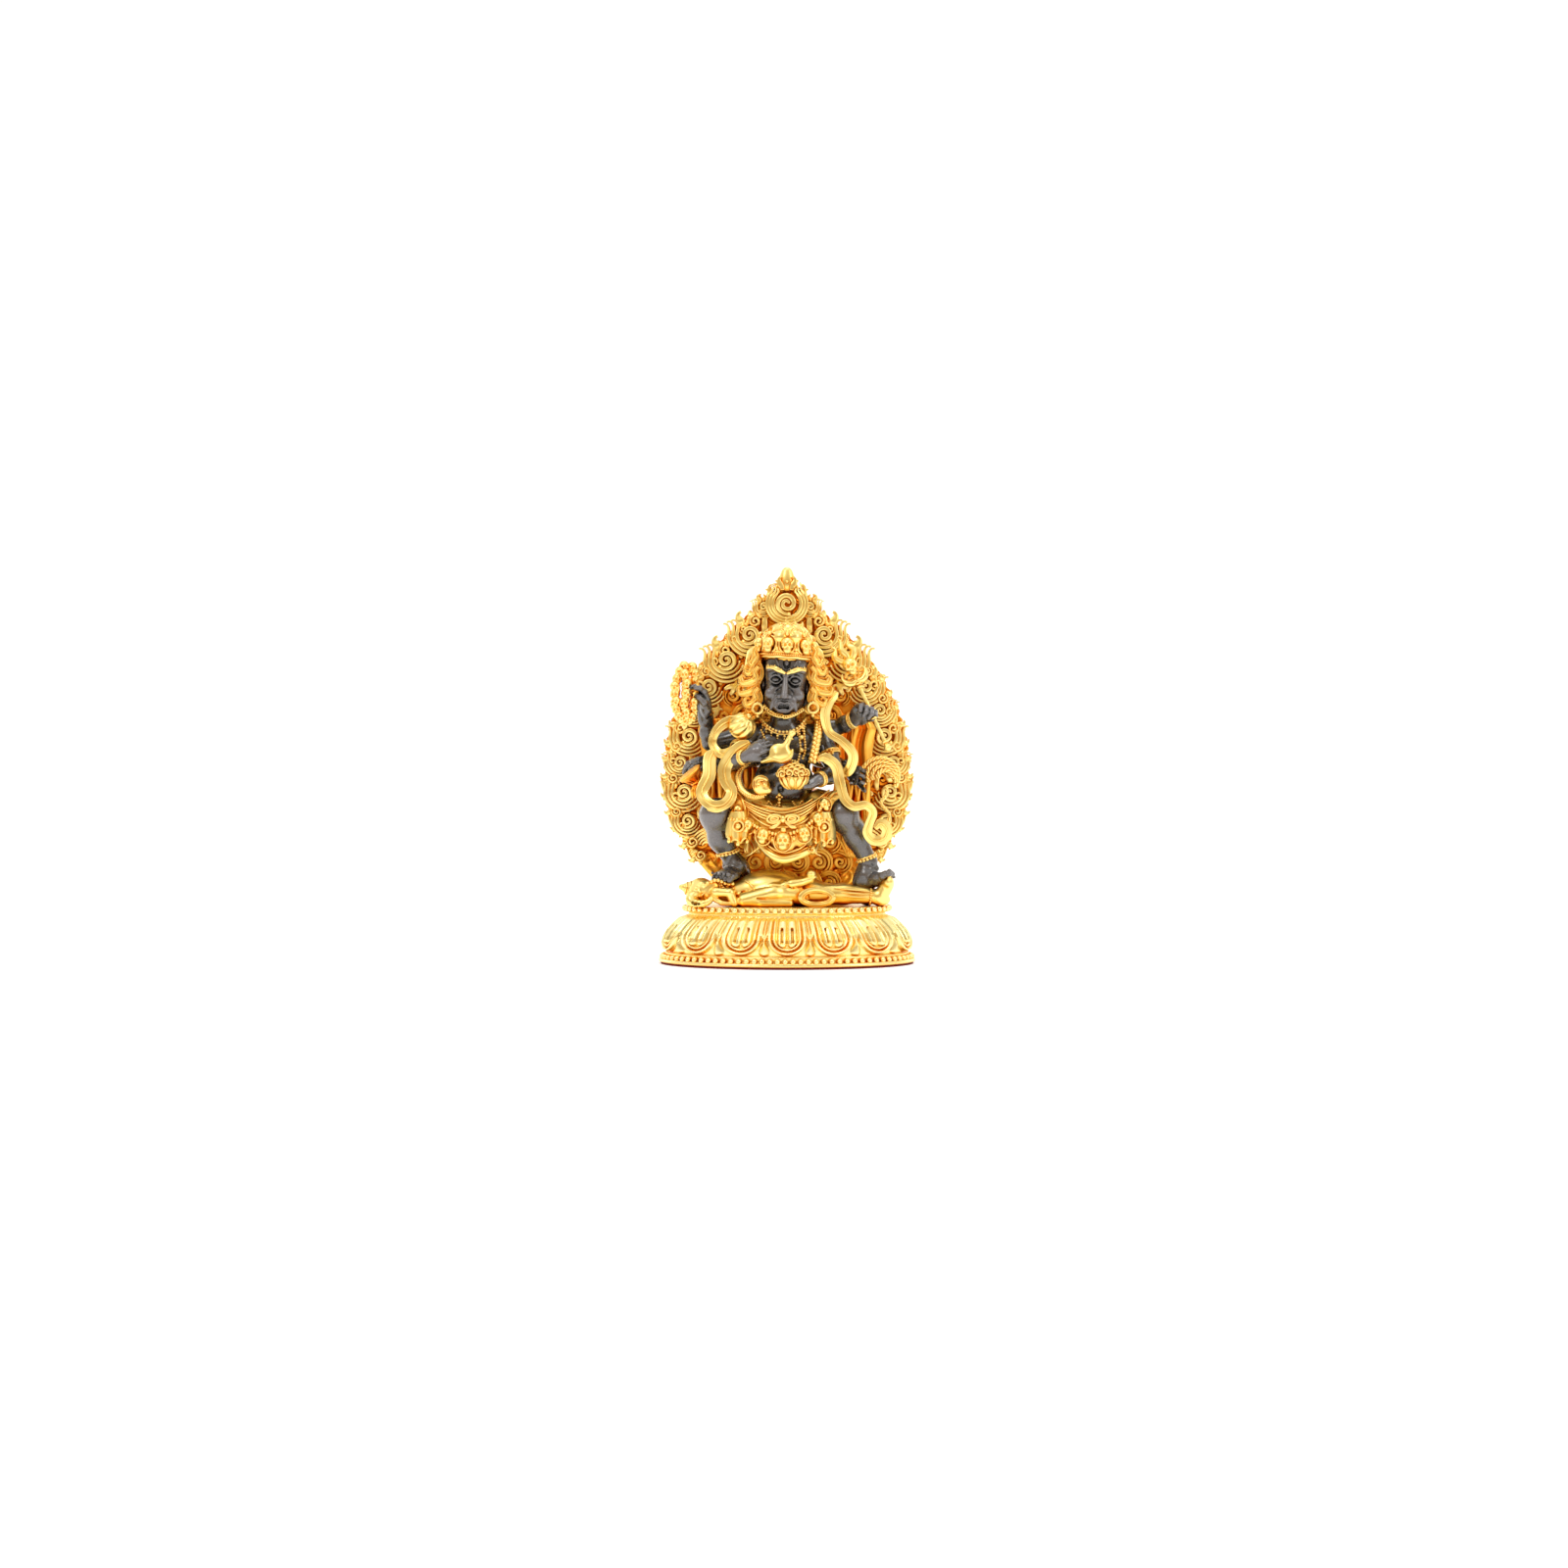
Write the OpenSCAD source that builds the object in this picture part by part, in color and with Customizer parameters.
// Gilt guardian statuette: a six-armed figure on a prostrate elephant-headed figure,
// on a hollow oval lotus base, with a flame aureole that lifts out of two sockets.
// Millimetres. +Z is up and the front faces -Y. The origin is the centre of the underside.

/* [Base] */
// Width of the lotus base, side to side
base_w = 64; // [62:1:66]
// Depth of the lotus base, front to back
base_d = 44; // [42:1:48]
// Height of the deck that the figures stand on
base_h = 14.5; // [14:0.5:16]
// Thickness of the cast wall of the base
wall_t = 2.2; // [1.8:0.1:2.6]
// Number of lotus petals around the base
petals = 14; // [12:1:18]
// How far each petal bulges out
petal_rise = 0.8; // [0.4:0.1:1]

/* [Underside] */
// Thickness of the red felt under the base
felt_t = 0.5; // [0.4:0.1:0.8]
// Thickness of the brass plate that closes the base
plate_t = 1.2; // [1:0.1:1.5]

/* [Aureole] */
// Width of the aureole over its flame tips
aureole_w = 66; // [66:1:70]
// Height of the aureole's crest above the deck
aureole_h = 85.5; // [84:0.5:88]
// Thickness of the aureole's back plate
aureole_t = 2; // [1.6:0.1:2.4]
// How far the flame border stands forward of the plate
border_t = 3; // [2:0.5:3.5]
// Number of flame tongues up each side
tongues = 11; // [9:1:13]
// Length of the two tenons under the aureole
tenon_l = 5; // [4:0.5:6]
// Clearance around each tenon in its socket
socket_gap = 0.12; // [0.1:0.01:0.2]

/* [Figure] */
// Width of the guardian's face
face_w = 12; // [11:0.5:12.5]
// Radius of the round belly
belly_r = 7.2; // [6.5:0.1:7.5]

/* [Hidden] */
// The figure's pieces in the order they are fitted: each is trimmed to the ones before it.
FIGURE = [
    "torso", "right_leg", "left_leg", "head",
    "trident", "skull_cup", "flaying_knife", "hand_drum",
    "main_right_arm", "main_left_arm", "upper_right_arm",
    "upper_left_arm", "lower_right_arm", "lower_left_arm",
    "hair", "skull_crown", "earrings", "necklace",
    "bracelets", "armlets", "anklets", "skull_rosary", "noose",
    "tiger_skirt", "waist_sash", "head_garland", "skirt_tassels",
    "snake_girdle", "braided_sash", "right_scarf", "left_scarf",
    "right_hide", "left_hide", "prostrate_figure",
];

ROUND = 12;    // facets of the limbs
RIBBON = 8;    // facets of ribbons and cords
RINGS = 84;    // points round the oval base
EPS = 0.01;

gold = "goldenrod";
lacquer = "#2b2b2e";
steel = "silver";

half_w = base_w / 2;
oval = base_d / base_w;             // the base's depth as a share of its width
cavity_w = half_w - wall_t - 1.6;   // half width of the hollow in the base
plate_y = 12.5;                     // front face of the aureole's back plate
jewel_h = 3.8;
plate_top = aureole_h - jewel_h;
opening = [0, 30];                  // centre of the aureole's opening, above the deck
opening_r = [12, 8.5];
tenon_w = 5;
tenon_x = 8.5;
screw_r = 1;
screw_x = 6;
screw_y = -1;
pin_r = 0.7;

// The guardian's joints: right is the guardian's own right, at -X.
// Heights are above the deck.
NECK = [-0.8, -0.5, 45];
HEAD = [-0.5, -3.6, 55];
CHEST = [0, -0.6, 39.5];
BELLY = [-0.8, -2.2, 30.5];
HIPS = [-0.8, 0, 24];
// Each limb is a list of [point, radius].
RIGHT_LEG = [[[-5, 0, 23.5], 5], [[-17.6, -6.5, 22.3], 4.1], [[-16.6, -5.5, 16.5], 3.9],
             [[-13.4, -3.8, 11.2], 2.4], [[-11.8, -3, 8.6], 2.6]];
RIGHT_FOOT = [[[-11.8, -3.4, 8.4], 2.5], [[-15.5, -7.6, 8], 2.2], [[-17.2, -9, 7.6], 1.4]];
LEFT_LEG = [[[5, 0, 23.5], 5], [[13.8, -5.5, 22.3], 4], [[17, -4.6, 17], 3.8],
            [[20.2, -3.6, 10.8], 2.3], [[19.8, -3.4, 8], 2.4]];
LEFT_FOOT = [[[19.6, -3.8, 7.4], 2.4], [[23, -5.4, 8.4], 2.1], [[26, -6.4, 9.6], 1.3]];
MAIN_RIGHT = [[[-8.5, 0.4, 41.5], 2.8], [[-14.4, -4.6, 35.6], 2.3], [[-10, -10, 36.8], 1.8],
              [[-6.6, -11.6, 39.6], 2], [[-3.6, -12.2, 41.4], 1.5]];
MAIN_LEFT = [[[8.5, 0.4, 41.5], 2.8], [[12.2, -3, 33], 2.3], [[7.4, -9, 31], 1.8],
             [[4.6, -10.6, 29.4], 1.9], [[1.6, -12, 28.6], 1.4]];
UPPER_RIGHT = [[[-8.4, 3, 42.5], 2.5], [[-19.4, 2.4, 40.4], 2.2], [[-20.3, 0, 46.6], 1.8],
               [[-20.2, -1, 51.6], 1.9], [[-22.4, -2.2, 55.2], 1.3]];
UPPER_LEFT = [[[8.4, 3, 43], 2.5], [[13.4, 2.4, 44.6], 2.2], [[16.6, 0, 46], 1.8],
              [[18.6, -2.2, 48.4], 2.1], [[19.8, -3, 50.2], 1.9]];
LOWER_RIGHT = [[[-8.2, 3.4, 37], 2.4], [[-16, 4.2, 34.4], 2], [[-19.8, 2.4, 36], 1.6],
               [[-23, 0.2, 36.2], 1.7], [[-26.2, -1.6, 33.6], 1.2]];
LOWER_LEFT = [[[8.2, 3.4, 37], 2.4], [[13.6, 4.2, 34.6], 2], [[16.2, 1.8, 33.6], 1.6],
              [[18.6, -0.6, 31], 1.7], [[21.8, -1.6, 28.6], 1.2]];
ARMS = [MAIN_RIGHT, MAIN_LEFT, UPPER_RIGHT, UPPER_LEFT, LOWER_RIGHT, LOWER_LEFT];
// Free routes, chosen by hand: each is a list of points.
RIGHT_LOOP = [[-8.6, -4, 44.6], [-12.6, -4.8, 45], [-16.6, -4.4, 43], [-18, -4, 39.8],
              [-15.6, -6.4, 37.6], [-12.2, -8, 38.4], [-13.8, -8, 35], [-15.2, -8.6, 31.4],
              [-13.8, -9.8, 28], [-16.6, -10.6, 25], [-20, -9.6, 27.6], [-18.8, -8, 32.4],
              [-19, -6, 36.4]];
LEFT_WAVE = [[11.6, -1.4, 51], [9.4, -4.4, 47.4], [10.4, -6.4, 42.8], [14.2, -7, 40.2],
             [16.3, -6.6, 36.6], [15.2, -5.6, 33.4], [12.6, -7.6, 33], [12.9, -8.4, 29.8],
             [14.2, -9.6, 26.4], [17.2, -10.4, 24.6], [20.2, -9.4, 24.4], [20.8, -8.8, 21.4],
             [19.6, -8.4, 18.4], [21.4, -8.2, 16.6], [23.8, -8, 17.6], [23.4, -8, 20]];
ROSARY = [[-22.6, -2.8, 57.4], [-20.6, -3.2, 58.8], [-18.8, -3.4, 57.6], [-18.4, -3.8, 54],
          [-19, -4, 50], [-20.6, -4.2, 46.8], [-23.4, -4.2, 44.6], [-25.6, -4, 47],
          [-26.8, -4, 50.4], [-26.4, -3.6, 54], [-25, -3.2, 57]];
NOOSE = [[19, -3.4, 31.6], [20.6, -3.4, 34.6], [23.4, -3.6, 36.2], [26, -3.6, 34.8],
         [26.4, -3.6, 31.8], [24.4, -4.4, 29.6], [22.6, -5.6, 30.4], [20.4, -5.4, 31.4]];
SNAKE = [[-6.4, -10.8, 30], [-9.6, -9.8, 28.6], [-11.8, -7.6, 30], [-11.8, -6.2, 33],
         [-10.6, -5.8, 35]];
BRAID = [[8.4, -3.6, 45.4], [7.6, -6.8, 42.4], [6.8, -7.8, 38.6], [6, -8.8, 35.4]];
BELT = [[-13.6, -6.4, 27.4], [-8.6, -9.4, 24.4], [-4, -10.8, 22.6], [-1.2, -11, 22.2],
        [1.8, -10.6, 22.8], [6.4, -8.8, 25], [10.2, -6, 28.2]];
TRIDENT_FOOT = [25, -5.2, 38.6];
TRIDENT_TOP = [12.6, 0, 66.4];
CUP = [1.6, -12.6, 32.2];
EAR_RINGS = [[-7.6, -5.4, 48.6], [6, -5.4, 49]];
TASSELS = [[-13.2, -10, 16.4], [9.6, -9.4, 16.6]];
FOOT_PINS = [[-12.4, -3.8, 8.4], [20, -3.8, 7.4]];

// ---------- shared shapes ----------

module on_deck() {
    translate([0, 0, base_h]) children();
}

module ball(p, r, facets = ROUND) {
    translate(p) sphere(r, $fn = facets);
}

// A limb of round sections through a list of [point, radius].
module limb(joints, facets = ROUND) {
    for (i = [0:len(joints) - 2])
        hull() {
            ball(joints[i][0], joints[i][1], facets);
            ball(joints[i + 1][0], joints[i + 1][1], facets);
        }
}

module cord(points, r) {
    limb([for (p = points) [p, r]], RIBBON);
}

// A flat band that lies across the view, thin from front to back.
module band(points, width, thick) {
    module slab(p) {
        translate(p) scale([1, thick / width, 1]) sphere(d = width, $fn = RIBBON);
    }
    for (i = [0:len(points) - 2])
        hull() {
            slab(points[i]);
            slab(points[i + 1]);
        }
}

// Places its children at a point, with their +Z turned along a direction.
module along(p, direction) {
    tilt = acos(direction[2] / norm(direction));
    turn = atan2(direction[1], direction[0]);
    translate(p) rotate([0, tilt, turn]) children();
}

// A ring round a limb, between two of its joints, at a share of the way.
module ring_on(joints, i, share, wire_r) {
    a = joints[i];
    b = joints[i + 1];
    limb_r = a[1] + (b[1] - a[1]) * share;
    along(a[0] + (b[0] - a[0]) * share, b[0] - a[0])
        rotate_extrude($fn = 16)
            translate([limb_r + wire_r, 0])
                circle(wire_r, $fn = 6);
}

// Turns an even share of a full turn into an angle, so that steps round the oval are even.
function even_angle(turn) =
    let (flat = (1 - oval * oval) / (1 + oval * oval) / 4)
        turn + flat * 180 / PI * sin(2 * turn);

function oval_ring(w, z, rise = 0) = [
    for (i = [0:RINGS - 1])
        let (turn = 360 * i / RINGS,
             t = even_angle(turn),
             bulge = rise * abs(sin(petals * (turn + 90) / 2 + 90)))
            [(w + bulge) * cos(t), (w + bulge) * oval * sin(t), z]
];

// A closed oval shell of rings, each [height, half width, petal bulge].
module oval_loft(rings) {
    n = len(rings);
    points = [for (r = rings) each oval_ring(r[1], r[0], r[2])];
    sides = [
        for (k = [0:n - 2], i = [0:RINGS - 1])
            let (a = k * RINGS + i, b = k * RINGS + (i + 1) % RINGS)
                each [[a, a + RINGS, b], [b, a + RINGS, b + RINGS]]
    ];
    floor_face = [[for (i = [0:RINGS - 1]) i]];
    top_face = [[for (i = [RINGS - 1:-1:0]) (n - 1) * RINGS + i]];
    polyhedron(points, concat(floor_face, sides, top_face), convexity = 4);
}

module oval_slab(w, thick) {
    linear_extrude(thick)
        polygon([for (p = oval_ring(w, 0)) [p[0], p[1]]]);
}

// ---------- base ----------

module felt_pad() {
    color("firebrick") oval_slab(half_w - 0.5, felt_t);
}

module base_plate() {
    color(gold)
        translate([0, 0, felt_t]) oval_slab(half_w - wall_t - 0.6, plate_t);
}

module socket_blocks(width, depth, height) {
    for (side = [-1, 1])
        translate([side * tenon_x, plate_y + aureole_t / 2, base_h - height / 2])
            cube([width, depth, height], center = true);
}

module screw_shapes(r, low, high) {
    for (side = [-1, 1])
        translate([side * screw_x, screw_y, low])
            cylinder(r = r, h = high - low, $fn = 32);
}

module base_shell() {
    rim_z = base_h - 1.5;
    oval_loft([
        [felt_t, half_w, 0],
        [1.5, half_w, 0],
        [1.7, half_w - 1.2, 0],
        [3.2, half_w - 1.6, petal_rise * 0.4],
        [5.5, half_w - 1.4, petal_rise],
        [8, half_w - 2, petal_rise],
        [rim_z - 2.2, half_w - 4, petal_rise],
        [rim_z - 0.8, half_w - 6.6, 0.1],
        [rim_z, half_w - 6.8, 0],
        [rim_z + 0.2, half_w - 6, 0],
        [base_h, half_w - 6, 0],
    ]);
}

module base_cavity() {
    rebate_w = half_w - wall_t - 0.55;
    rebate_top = felt_t + plate_t + 0.02;
    oval_loft([
        [felt_t - 1, rebate_w, 0],
        [rebate_top, rebate_w, 0],
        [rebate_top + EPS, cavity_w, 0],
        [base_h / 2, cavity_w, 0],
        [base_h - wall_t - 1, cavity_w - 5.5, 0],
        [base_h - wall_t, cavity_w - 6.5, 0],
    ]);
}

module lotus_base() {
    color(gold)
        difference() {
            union() {
                difference() {
                    base_shell();
                    base_cavity();
                }
                intersection() {
                    base_shell();
                    socket_blocks(tenon_w + 4, aureole_t + 2.4, tenon_l + 2);
                }
            }
            socket_blocks(tenon_w + 2 * socket_gap, aureole_t + 2 * socket_gap,
                          2 * (tenon_l + 0.5));
            screw_shapes(screw_r + 0.15, base_h - wall_t - 2, base_h + 2);
        }
}

module base_screws() {
    head_r = 1.9;
    head_h = 1.2;
    seat = base_h - wall_t;
    color(steel) {
        screw_shapes(screw_r, seat - EPS, base_h + 3);
        screw_shapes(head_r, seat - head_h, seat);
    }
}

module foot_pins() {
    color(steel) on_deck() pin_shapes(0);
}

module pin_shapes(gap) {
    for (foot = FOOT_PINS)
        translate(foot - [0, 0, 6])
            cylinder(r = pin_r + gap, h = 6 + gap, $fn = 16);
}

// ---------- the guardian's body ----------

module torso_shape() {
    hull() {
        ball([-5.5, 0, 40.5], 3.4, 16);
        ball([5.5, 0, 40.5], 3.4, 16);
        ball(CHEST, 5, 16);
    }
    hull() {
        ball(CHEST, 5.4, 16);
        ball(BELLY, belly_r, 16);
    }
    hull() {
        ball(BELLY, belly_r - 0.6, 16);
        ball(HIPS, 5.6, 16);
    }
    limb([[CHEST + [0, 0, 3], 2.9], [NECK, 2.8]]);
}

module head_shape() {
    hull() {
        ball(HEAD + [0, 1.4, 2.4], face_w / 2, 16);
        ball(HEAD + [0, 0.6, -3.6], face_w / 2 - 1, 16);
        ball(HEAD + [0, -0.8, -5], face_w / 2 - 2.2, 16);
    }
}

module hair_shape() {
    hull() {
        ball([-3.4, 1.4, 62], 4.6);
        ball([3.4, 1.4, 62], 4.6);
        ball([-0.4, 1.6, 65.4], 4.2);
    }
    for (side = [-1, 1])
        limb([[[side * 6, 1, 63], 4.4], [[side * 8, -0.6, 56], 3.2],
              [[side * 8.2, -1.4, 50], 2.8], [[side * 7.4, -1.6, 47.2], 1.8]]);
}

module crown_shape() {
    for (step = [-2:2])
        ball([step * 2.7, -8.2 + 0.5 * step * step, 62.2 + 0.6 * cos(step * 45)], 1.8, 10);
    hull() {
        ball([-5, -3.6, 61.2], 2.4);
        ball([5, -3.6, 61.2], 2.4);
        ball([0, -5.4, 61.4], 2.8);
        ball([0, -3.6, 65.8], 2.6);
    }
    limb([[[0.6, -2.6, 67], 1.8], [[2.2, -2.4, 70], 1]]);
}

// ---------- jewellery ----------

module earring_shapes() {
    for (p = EAR_RINGS)
        translate(p)
            rotate([90, 0, 0])
                rotate_extrude($fn = 12)
                    translate([1.3, 0]) circle(0.5, $fn = 6);
}

module necklace_shape() {
    translate([0, -3.2, 42.4])
        rotate([28, 0, 0])
            scale([1, 0.8, 1])
                rotate_extrude($fn = 24)
                    translate([5.4, 0]) circle(0.8, $fn = RIBBON);
}

module bracelet_shapes() {
    for (arm = ARMS) ring_on(arm, 2, 0.1, 0.5);
}

module armlet_shapes() {
    ring_on(MAIN_RIGHT, 0, 0.6, 0.5);
    ring_on(MAIN_LEFT, 0, 0.6, 0.5);
}

module anklet_shapes() {
    ring_on(RIGHT_LEG, 3, 0, 0.55);
    ring_on(LEFT_LEG, 3, 0, 0.55);
}

// ---------- attributes in the six hands ----------

module knife_shape() {
    limb([[[1.8, -13.6, 42.2], 0.9], [[0, -13.4, 40.4], 1], [[-0.8, -13.2, 37.4], 2.3]], 10);
    limb([[[-0.8, -13.2, 37.4], 2.3], [[-4, -12.8, 35.8], 0.8]], 10);
}

module cup_shape() {
    hull() {
        ball(CUP, 2.6);
        ball(CUP + [0, 0, 1], 3);
        ball(CUP + [1.4, 0, 1.4], 2.2);
    }
}

module rosary_shape() {
    cord(concat(ROSARY, [ROSARY[0]]), 1.1);
}

module drum_shape() {
    along([-18.6, -3.8, 31.2], [-6.4, 1.2, 0.4]) {
        cylinder(r1 = 2.4, r2 = 1.1, h = 3, $fn = 24);
        translate([0, 0, 3 - EPS]) cylinder(r1 = 1.1, r2 = 2.3, h = 3, $fn = 24);
    }
}

module trident_shape() {
    axis = TRIDENT_TOP - TRIDENT_FOOT;
    along(TRIDENT_FOOT, axis) {
        cylinder(r = 0.65, h = norm(axis) - 7, $fn = 16);
        sphere(1, $fn = 12);
        translate([0, 0, 17.6]) sphere(1.8, $fn = 12);
        translate([0, 0, 21]) sphere(1.9, $fn = 12);
        translate([0, 0, 24])
            for (bend = [-1, 0, 1])
                hull() {
                    sphere(0.9, $fn = 10);
                    translate([0, bend * 3.2, bend == 0 ? 7.4 : 4.6]) sphere(0.7, $fn = 10);
                }
    }
}

// ---------- dress ----------

module skirt_shape() {
    hull() {
        ball([-9.5, -3.4, 23], 4.6);
        ball([7.5, -3.4, 23], 4.6);
        ball([-1, 2.2, 24], 5);
    }
    hull() {
        ball([-12.6, -6.6, 20.6], 3.4);
        ball([-7.5, -5, 21], 3.6);
        ball([-12, -6, 14.6], 1.8);
    }
    hull() {
        ball([10, -6.6, 20.6], 3);
        ball([6.5, -5, 21], 3.6);
        ball([9.8, -6, 14.8], 1.8);
    }
    hull() {
        ball([-5.5, -6.4, 20], 2.6);
        ball([4.5, -6.4, 20], 2.6);
        ball([-1.4, -6.2, 13], 2);
    }
}

// A swag of severed heads, lowest just left of the middle.
module garland_shape() {
    middle = -1.2;
    cord([for (x = [-12.6:2.86:10.6])
             [x, -9.6 - 0.6 * cos(x * 8), 16.2 + 0.055 * pow(x - middle, 2)]], 0.7);
    for (x = [-12.6, -9.5, -5.6, middle, 4, 8.4, 10.6])
        ball([x, -10.4 - 0.8 * cos(x * 8), 16.2 + 0.055 * pow(x - middle, 2)],
             x == middle ? 1.8 : 1.4, 10);
}

module tassel_shapes() {
    for (p = TASSELS)
        hull() {
            ball(p + [0.3, 0, 2.6], 1.7, 10);
            ball(p - [0.3, 0, 2], 1.8, 10);
        }
}

module snake_shape() {
    cord(SNAKE, 0.8);
    ball(SNAKE[0], 2.2);
}

module right_scarf_shape() {
    band(RIGHT_LOOP, 2.6, 1.2);
    ball([-10.8, -4.4, 44.4], 3.4);
}

module hide_shape(side) {
    hull() {
        ball([side * 10, 6.2, 46], 1, 10);
        ball([side * 22, 6.4, 44], 1, 10);
        ball([side * 20, 6.4, 33], 1, 10);
        ball([side * 13.6, 6.2, 36], 1, 10);
    }
    hull() {
        ball([side * 20, 6.4, 34], 1, 10);
        ball([side * 23, 6.4, 22], 1, 10);
        ball([side * 20, 6.2, 12], 1, 10);
        ball([side * 14, 6.2, 16], 1, 10);
    }
}

// ---------- the prostrate elephant-headed figure ----------

module prostrate_shape() {
    limb([[[-13, -4, 3.2], 3.8], [[-4, -3.4, 3.4], 4.4], [[2, -2.6, 3], 4],
          [[12, -1.8, 3], 2.8], [[20.4, -3.4, 3], 2.4], [[24.4, -4.6, 4.6], 1.5]]);
    limb([[[-22.6, -5, 3.6], 3.2], [[-18, -4.4, 3.2], 2.6], [[-13, -4, 3.2], 3]]);
    limb([[[-23, -6, 3.6], 2], [[-25.6, -7.4, 4.4], 1.2]]);
    limb([[[-18, -7.6, 2.6], 1.6], [[-13, -9, 2.6], 1.5], [[-11.4, -8.6, 1], 1.3]]);
    limb([[[1, -4.6, 3], 3], [[6.4, -8, 5.2], 1.8], [[6.6, -7.4, 8], 1.2]]);
    limb([[[1, -6, 1.6], 1.6], [[6, -9.6, 2.2], 1.2], [[10.4, -7.4, 1.4], 1.2],
          [[10, -3, 2], 1.4]]);
}

module prostrate_trim() {
    translate([-50, -50, -20]) cube([100, 100, 20]);
    translate([0, 0, -base_h]) screw_shapes(screw_r + 0.05, base_h - 1, base_h + 3.2);
}

// ---------- fitting the figure's pieces together ----------

module shape_of(name) {
    if (name == "torso") torso_shape();
    if (name == "right_leg") { limb(RIGHT_LEG); limb(RIGHT_FOOT); }
    if (name == "left_leg") { limb(LEFT_LEG); limb(LEFT_FOOT); }
    if (name == "head") head_shape();
    if (name == "trident") trident_shape();
    if (name == "skull_cup") cup_shape();
    if (name == "flaying_knife") knife_shape();
    if (name == "hand_drum") drum_shape();
    if (name == "main_right_arm") limb(MAIN_RIGHT);
    if (name == "main_left_arm") limb(MAIN_LEFT);
    if (name == "upper_right_arm") limb(UPPER_RIGHT);
    if (name == "upper_left_arm") limb(UPPER_LEFT);
    if (name == "lower_right_arm") limb(LOWER_RIGHT);
    if (name == "lower_left_arm") limb(LOWER_LEFT);
    if (name == "hair") hair_shape();
    if (name == "skull_crown") crown_shape();
    if (name == "earrings") earring_shapes();
    if (name == "necklace") necklace_shape();
    if (name == "bracelets") bracelet_shapes();
    if (name == "armlets") armlet_shapes();
    if (name == "anklets") anklet_shapes();
    if (name == "skull_rosary") rosary_shape();
    if (name == "noose") cord(NOOSE, 0.75);
    if (name == "tiger_skirt") skirt_shape();
    if (name == "waist_sash") band(BELT, 2, 1.8);
    if (name == "head_garland") garland_shape();
    if (name == "skirt_tassels") tassel_shapes();
    if (name == "snake_girdle") snake_shape();
    if (name == "braided_sash") cord(BRAID, 1.1);
    if (name == "right_scarf") right_scarf_shape();
    if (name == "left_scarf") band(LEFT_WAVE, 2.2, 1.2);
    if (name == "right_hide") hide_shape(-1);
    if (name == "left_hide") hide_shape(1);
    if (name == "prostrate_figure") prostrate_shape();
}

module fitted(name) {
    place = search([name], FIGURE)[0];
    on_deck()
        difference() {
            shape_of(name);
            for (k = [0:1:place - 1]) shape_of(FIGURE[k]);
            if (name == "prostrate_figure") prostrate_trim();
            pin_shapes(0.05);
        }
}

module torso() { color(lacquer) fitted("torso"); }
module right_leg() { color(lacquer) fitted("right_leg"); }
module left_leg() { color(lacquer) fitted("left_leg"); }
module head() { color(lacquer) fitted("head"); }
module trident() { color(gold) fitted("trident"); }
module skull_cup() { color(gold) fitted("skull_cup"); }
module flaying_knife() { color(gold) fitted("flaying_knife"); }
module hand_drum() { color(gold) fitted("hand_drum"); }
module main_right_arm() { color(lacquer) fitted("main_right_arm"); }
module main_left_arm() { color(lacquer) fitted("main_left_arm"); }
module upper_right_arm() { color(lacquer) fitted("upper_right_arm"); }
module upper_left_arm() { color(lacquer) fitted("upper_left_arm"); }
module lower_right_arm() { color(lacquer) fitted("lower_right_arm"); }
module lower_left_arm() { color(lacquer) fitted("lower_left_arm"); }
module hair() { color(gold) fitted("hair"); }
module skull_crown() { color(gold) fitted("skull_crown"); }
module earrings() { color(gold) fitted("earrings"); }
module necklace() { color(gold) fitted("necklace"); }
module bracelets() { color(gold) fitted("bracelets"); }
module armlets() { color(gold) fitted("armlets"); }
module anklets() { color(gold) fitted("anklets"); }
module skull_rosary() { color(gold) fitted("skull_rosary"); }
module noose() { color(gold) fitted("noose"); }
module tiger_skirt() { color(gold) fitted("tiger_skirt"); }
module waist_sash() { color(gold) fitted("waist_sash"); }
module head_garland() { color(gold) fitted("head_garland"); }
module skirt_tassels() { color(gold) fitted("skirt_tassels"); }
module snake_girdle() { color(gold) fitted("snake_girdle"); }
module braided_sash() { color(gold) fitted("braided_sash"); }
module right_scarf() { color(gold) fitted("right_scarf"); }
module left_scarf() { color(gold) fitted("left_scarf"); }
module right_hide() { color(gold) fitted("right_hide"); }
module left_hide() { color(gold) fitted("left_hide"); }
module prostrate_figure() { color(gold) fitted("prostrate_figure"); }

// ---------- aureole ----------

// Half width of the leaf outline at a share of its height, from 0 at the deck to 1 at the tip.
function leaf(s) =
    let (q = (s - 0.36) / 0.64)
        s < 0.36
            ? 0.42 + 0.54 * sin(90 * s / 0.36)
            : 0.96 * (1 - pow(q, 2.2) - 0.12 * pow(q, 6));

// A flame tongue swells outwards as it rises, then steps back in at its tip.
function tongue(s) =
    let (rise = s * tongues - floor(s * tongues))
        0.05 * pow(rise, 1.4) * (1 - 0.5 * s);

function leaf_side(side, share, tips) =
    let (steps = tongues * 7)
        [for (i = [0:steps])
            let (s = side > 0 ? i / steps : 1 - i / steps,
                 w = max(leaf(s) + tips * tongue(s), 0.06))
                [side * share * aureole_w / 2 * w, plate_top * (share == 1 ? s : 0.06 + 0.82 * s)]];

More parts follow.
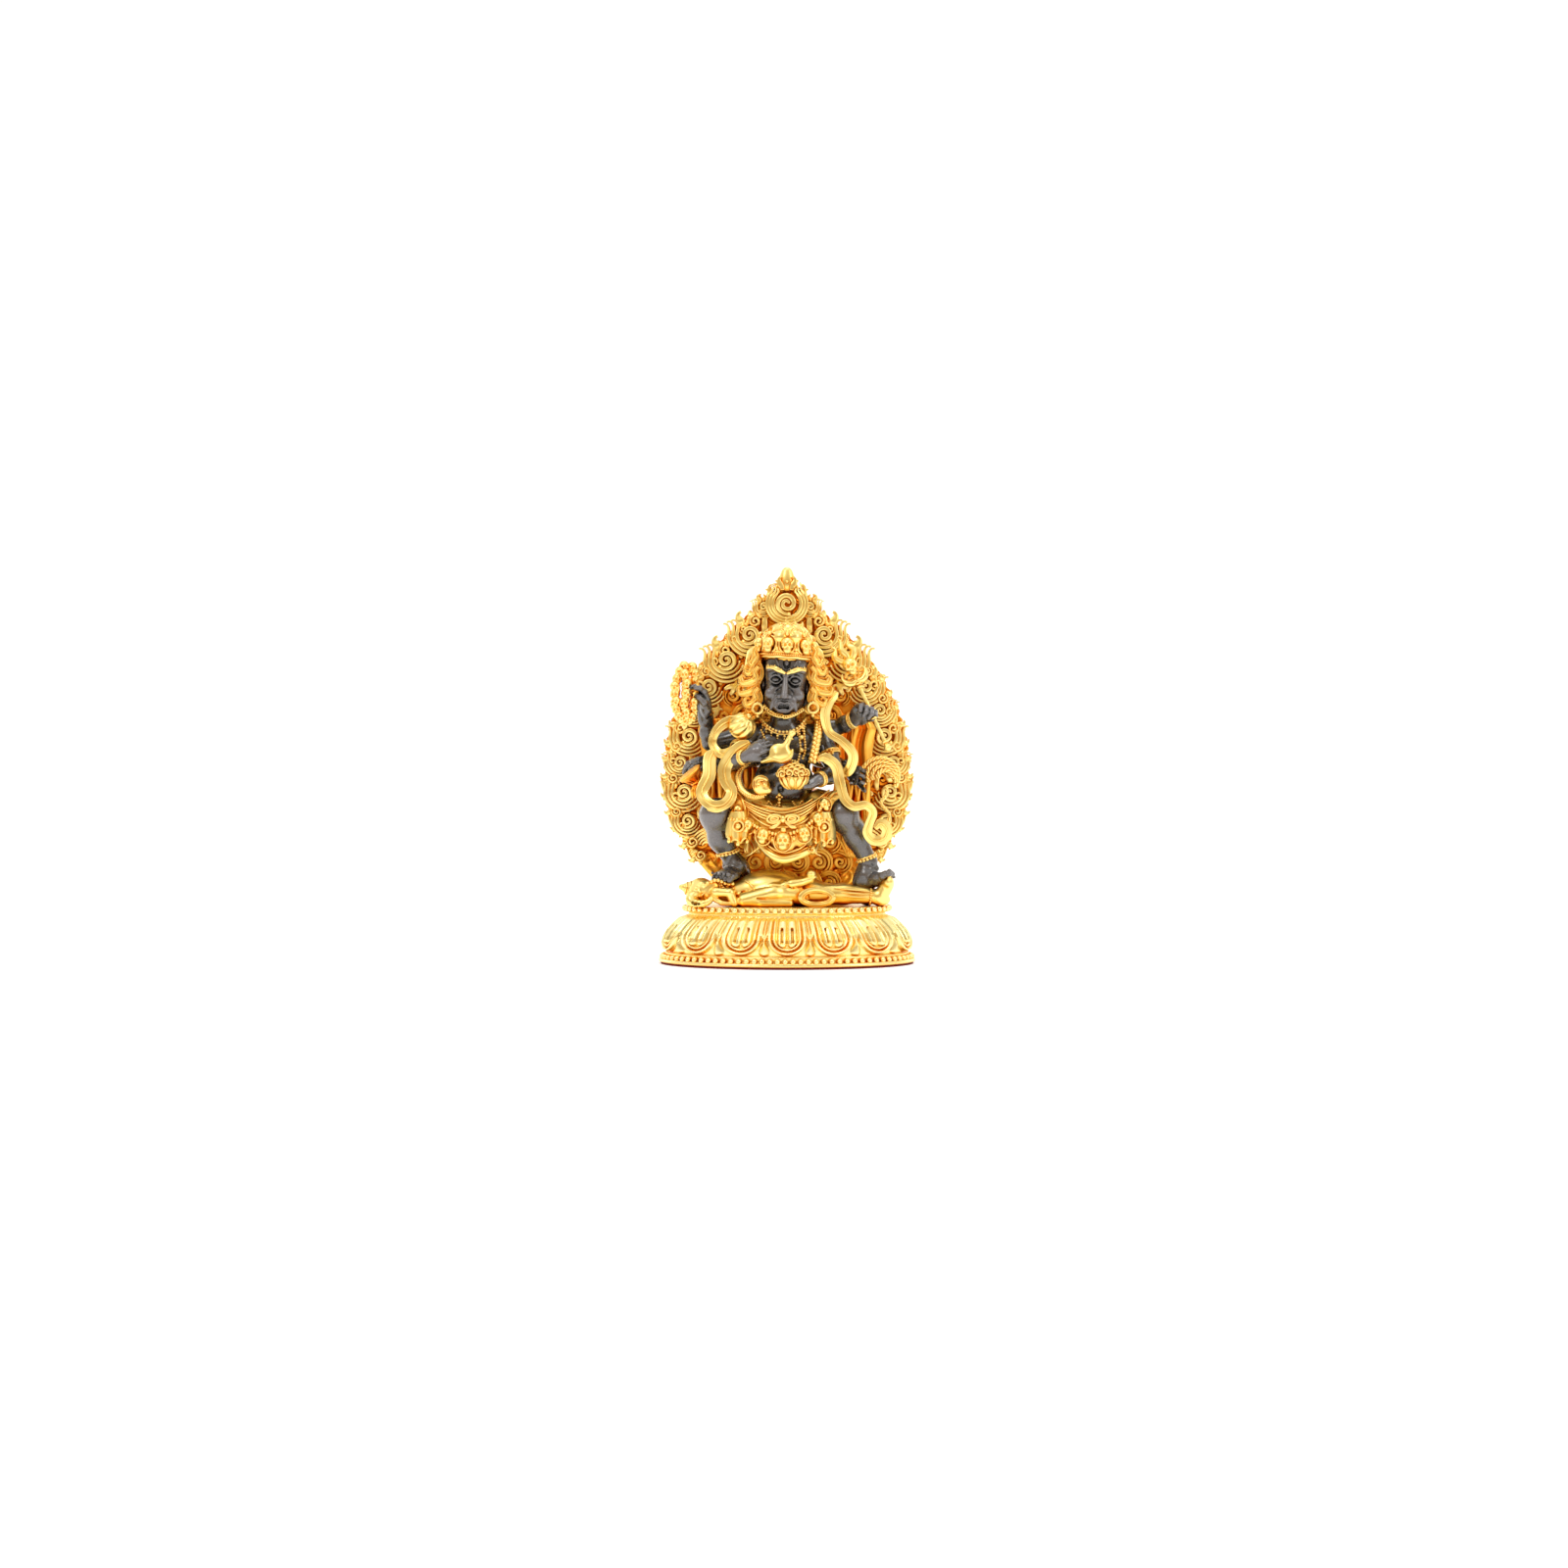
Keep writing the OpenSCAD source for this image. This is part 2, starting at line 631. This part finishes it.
module leaf_plate(share, y, thick) {
    tips = share == 1 ? 1 : 0;
    translate([0, y + thick, 0])
        rotate([90, 0, 0])
            linear_extrude(thick)
                polygon(concat(leaf_side(1, share, tips), leaf_side(-1, share, tips)));
}

module opening_cut() {
    depth = 20;
    translate([opening[0], plate_y + depth / 2, opening[1]])
        rotate([90, 0, 0])
            linear_extrude(depth)
                polygon([for (t = [0:7.5:352.5]) [opening_r[0] * cos(t), opening_r[1] * sin(t)]]);
}

module jewel_shape(gap) {
    spigot_r = 0.6 + gap;
    rotate_extrude($fn = 32)
        polygon([[0, -2 - gap], [spigot_r, -2 - gap], [spigot_r, 0], [1.4, 0], [1.9, 0.9],
                 [1.7, 2], [0.9, 3.1], [0, jewel_h]]);
}

module flame_aureole() {
    color(gold)
        on_deck()
            difference() {
                union() {
                    leaf_plate(1, plate_y, aureole_t);
                    difference() {
                        leaf_plate(1, plate_y - border_t, border_t + EPS);
                        translate([0, -EPS, 0]) leaf_plate(0.7, plate_y - border_t, border_t);
                        translate([-50, 0, -EPS]) cube([100, 50, 4]);
                    }
                    for (side = [-1, 1])
                        translate([side * tenon_x - tenon_w / 2, plate_y, -tenon_l])
                            cube([tenon_w, aureole_t, tenon_l + 1]);
                }
                opening_cut();
                translate([0, plate_y + aureole_t / 2 - 0.4, plate_top]) jewel_shape(0.01);
            }
}

module crest_jewel() {
    color(gold)
        on_deck()
            translate([0, plate_y + aureole_t / 2 - 0.4, plate_top]) jewel_shape(0);
}

felt_pad();
base_plate();
lotus_base();
base_screws();
foot_pins();
torso();
right_leg();
left_leg();
head();
trident();
skull_cup();
flaying_knife();
hand_drum();
main_right_arm();
main_left_arm();
upper_right_arm();
upper_left_arm();
lower_right_arm();
lower_left_arm();
hair();
skull_crown();
earrings();
necklace();
bracelets();
armlets();
anklets();
skull_rosary();
noose();
tiger_skirt();
waist_sash();
head_garland();
skirt_tassels();
snake_girdle();
braided_sash();
right_scarf();
left_scarf();
right_hide();
left_hide();
prostrate_figure();
flame_aureole();
crest_jewel();
